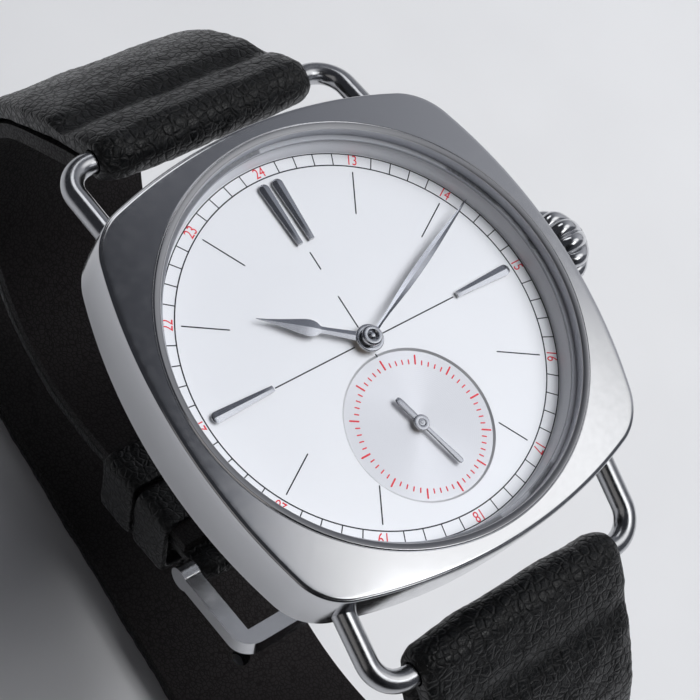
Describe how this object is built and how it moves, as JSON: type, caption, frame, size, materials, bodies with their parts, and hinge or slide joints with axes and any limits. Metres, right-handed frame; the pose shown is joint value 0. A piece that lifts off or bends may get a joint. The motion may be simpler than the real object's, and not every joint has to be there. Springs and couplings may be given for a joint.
{
  "type": "wristwatch",
  "caption": "Cushion-cased automatic wristwatch with small seconds, wire lugs and an open black leather strap.",
  "frame": {"origin": "centre of the caseback's flat face, on the hands' axis", "axes": "+Z out through the dial and crystal, +Y to 12 o'clock, +X to 3 o'clock and the crown"},
  "size_m": [0.0412, 0.0734, 0.0586],
  "materials": {
    "case_steel": "polished",
    "hand_steel": "polished",
    "sapphire": "polished",
    "gasket_polymer": "moulded",
    "black_rubber": "moulded",
    "dial_silver": "satin lacquer",
    "plate_rhodium": "rhodium plated",
    "wheel_brass": "gilt",
    "blued_steel": "heat blued",
    "black_leather": "grained",
    "lining_leather": "smooth"
  },
  "bodies": {
    "head": {"mid_case": "case_steel", "bezel": "case_steel", "crystal": "sapphire", "crystal_gasket": "gasket_polymer", "inner_flange": "dial_silver", "dial": "dial_silver", "hour_indexes": "hand_steel", "caseback": "case_steel", "caseback_gasket": "black_rubber", "crown_tube": "case_steel", "wire_lug_12": "case_steel", "wire_lug_6": "case_steel", "movement_ring": "gasket_polymer", "mainplate": "plate_rhodium", "train_bridge": "plate_rhodium", "pallet_bridge": "plate_rhodium", "balance_cock": "plate_rhodium", "bridge_screws": "blued_steel", "rotor_screw": "blued_steel"},
    "minute_train": {"minute_hand": "hand_steel", "cannon_pinion": "hand_steel", "centre_wheel": "wheel_brass"},
    "hour_train": {"hour_hand": "hand_steel", "hour_wheel": "wheel_brass"},
    "motion_wheel": {"minute_wheel": "wheel_brass"},
    "third": {"third_wheel": "wheel_brass"},
    "seconds_train": {"seconds_hand": "hand_steel", "fourth_wheel": "wheel_brass"},
    "escape": {"escape_wheel": "hand_steel"},
    "fork": {"pallet_fork": "hand_steel"},
    "balance": {"balance_wheel": "wheel_brass", "hairspring": "blued_steel"},
    "mainspring_barrel": {"barrel": "wheel_brass"},
    "winding_rotor": {"rotor": "plate_rhodium"},
    "winding": {"winding_pinion": "hand_steel"},
    "crown_stem": {"crown": "case_steel", "winding_stem": "case_steel"},
    "strap_short": {"strap_12_outer": "black_leather", "strap_12_lining": "lining_leather", "keeper_fixed": "black_leather"},
    "strap_long": {"strap_6_outer": "black_leather", "strap_6_lining": "lining_leather"},
    "loop_loose": {"keeper_loose": "black_leather"},
    "buckle": {"buckle_frame": "case_steel", "buckle_bar": "case_steel"},
    "tongue": {"buckle_tongue": "case_steel"}
  },
  "joints": [
    {"name": "minute", "type": "hinge", "parent": "head", "child": "minute_train", "pos_m": [0, 0, 0.0074], "axis": [0, 0, -1], "continuous": true},
    {"name": "hour", "type": "hinge", "parent": "head", "child": "hour_train", "pos_m": [0, 0, 0.0074], "axis": [0, 0, -1], "continuous": true},
    {"name": "motion_work", "type": "hinge", "parent": "head", "child": "motion_wheel", "pos_m": [0.00249, 0.00144, 0.0064], "axis": [0, 0, -1], "continuous": true},
    {"name": "third_wheel", "type": "hinge", "parent": "head", "child": "third", "pos_m": [0.00355, -0.00436, 0.0045], "axis": [0, 0, -1], "continuous": true},
    {"name": "seconds", "type": "hinge", "parent": "head", "child": "seconds_train", "pos_m": [0, -0.0074, 0.005], "axis": [0, 0, -1], "continuous": true},
    {"name": "escape_wheel", "type": "hinge", "parent": "head", "child": "escape", "pos_m": [-0.0031, -0.00853, 0.0045], "axis": [0, 0, -1], "continuous": true},
    {"name": "barrel", "type": "hinge", "parent": "head", "child": "mainspring_barrel", "pos_m": [0.00143, 0.00534, 0.0045], "axis": [0, 0, -1], "continuous": true},
    {"name": "pallet_fork", "type": "hinge", "parent": "head", "child": "fork", "pos_m": [-0.00548, -0.00715, 0.0045], "axis": [0, 0, -1], "range_deg": [-5, 5]},
    {"name": "balance", "type": "hinge", "parent": "head", "child": "balance", "pos_m": [-0.00698, -0.00456, 0.0036], "axis": [0, 0, -1], "range_deg": [-270, 270]},
    {"name": "rotor", "type": "hinge", "parent": "head", "child": "winding_rotor", "pos_m": [0, 0, 0.002], "axis": [0, 0, -1], "continuous": true},
    {"name": "winding", "type": "hinge", "parent": "head", "child": "winding", "pos_m": [0.008, 0, 0.0059], "axis": [1, 0, 0], "continuous": true},
    {"name": "crown_pull", "type": "slide", "parent": "winding", "child": "crown_stem", "axis": [1, 0, 0], "range_m": [0, 0.001]},
    {"name": "strap_short", "type": "hinge", "parent": "head", "child": "strap_short", "pos_m": [0, 0.0225, 0.0043], "axis": [1, 0, 0], "range_deg": [-15, 75]},
    {"name": "strap_long", "type": "hinge", "parent": "head", "child": "strap_long", "pos_m": [0, -0.0225, 0.0043], "axis": [-1, 0, 0], "range_deg": [0, 75]},
    {"name": "buckle", "type": "hinge", "parent": "strap_short", "child": "buckle", "pos_m": [0, -0.00503, -0.02431], "axis": [1, 0, 0], "range_deg": [-20, 45]},
    {"name": "tongue", "type": "hinge", "parent": "buckle", "child": "tongue", "pos_m": [0, -0.00503, -0.02431], "axis": [1, 0, 0], "range_deg": [0, 60]},
    {"name": "loose_keeper", "type": "slide", "parent": "strap_short", "child": "loop_loose", "axis": [0, 0.9397, -0.342], "range_m": [0, 0.005]}
  ],
  "couplings": [
    {"joint": "hour", "follows": "minute", "ratio": 0.083333},
    {"joint": "motion_work", "follows": "minute", "ratio": -0.33333},
    {"joint": "third_wheel", "follows": "minute", "ratio": -8},
    {"joint": "seconds", "follows": "minute", "ratio": 60},
    {"joint": "escape_wheel", "follows": "minute", "ratio": -600},
    {"joint": "barrel", "follows": "minute", "ratio": -0.13333}
  ]
}
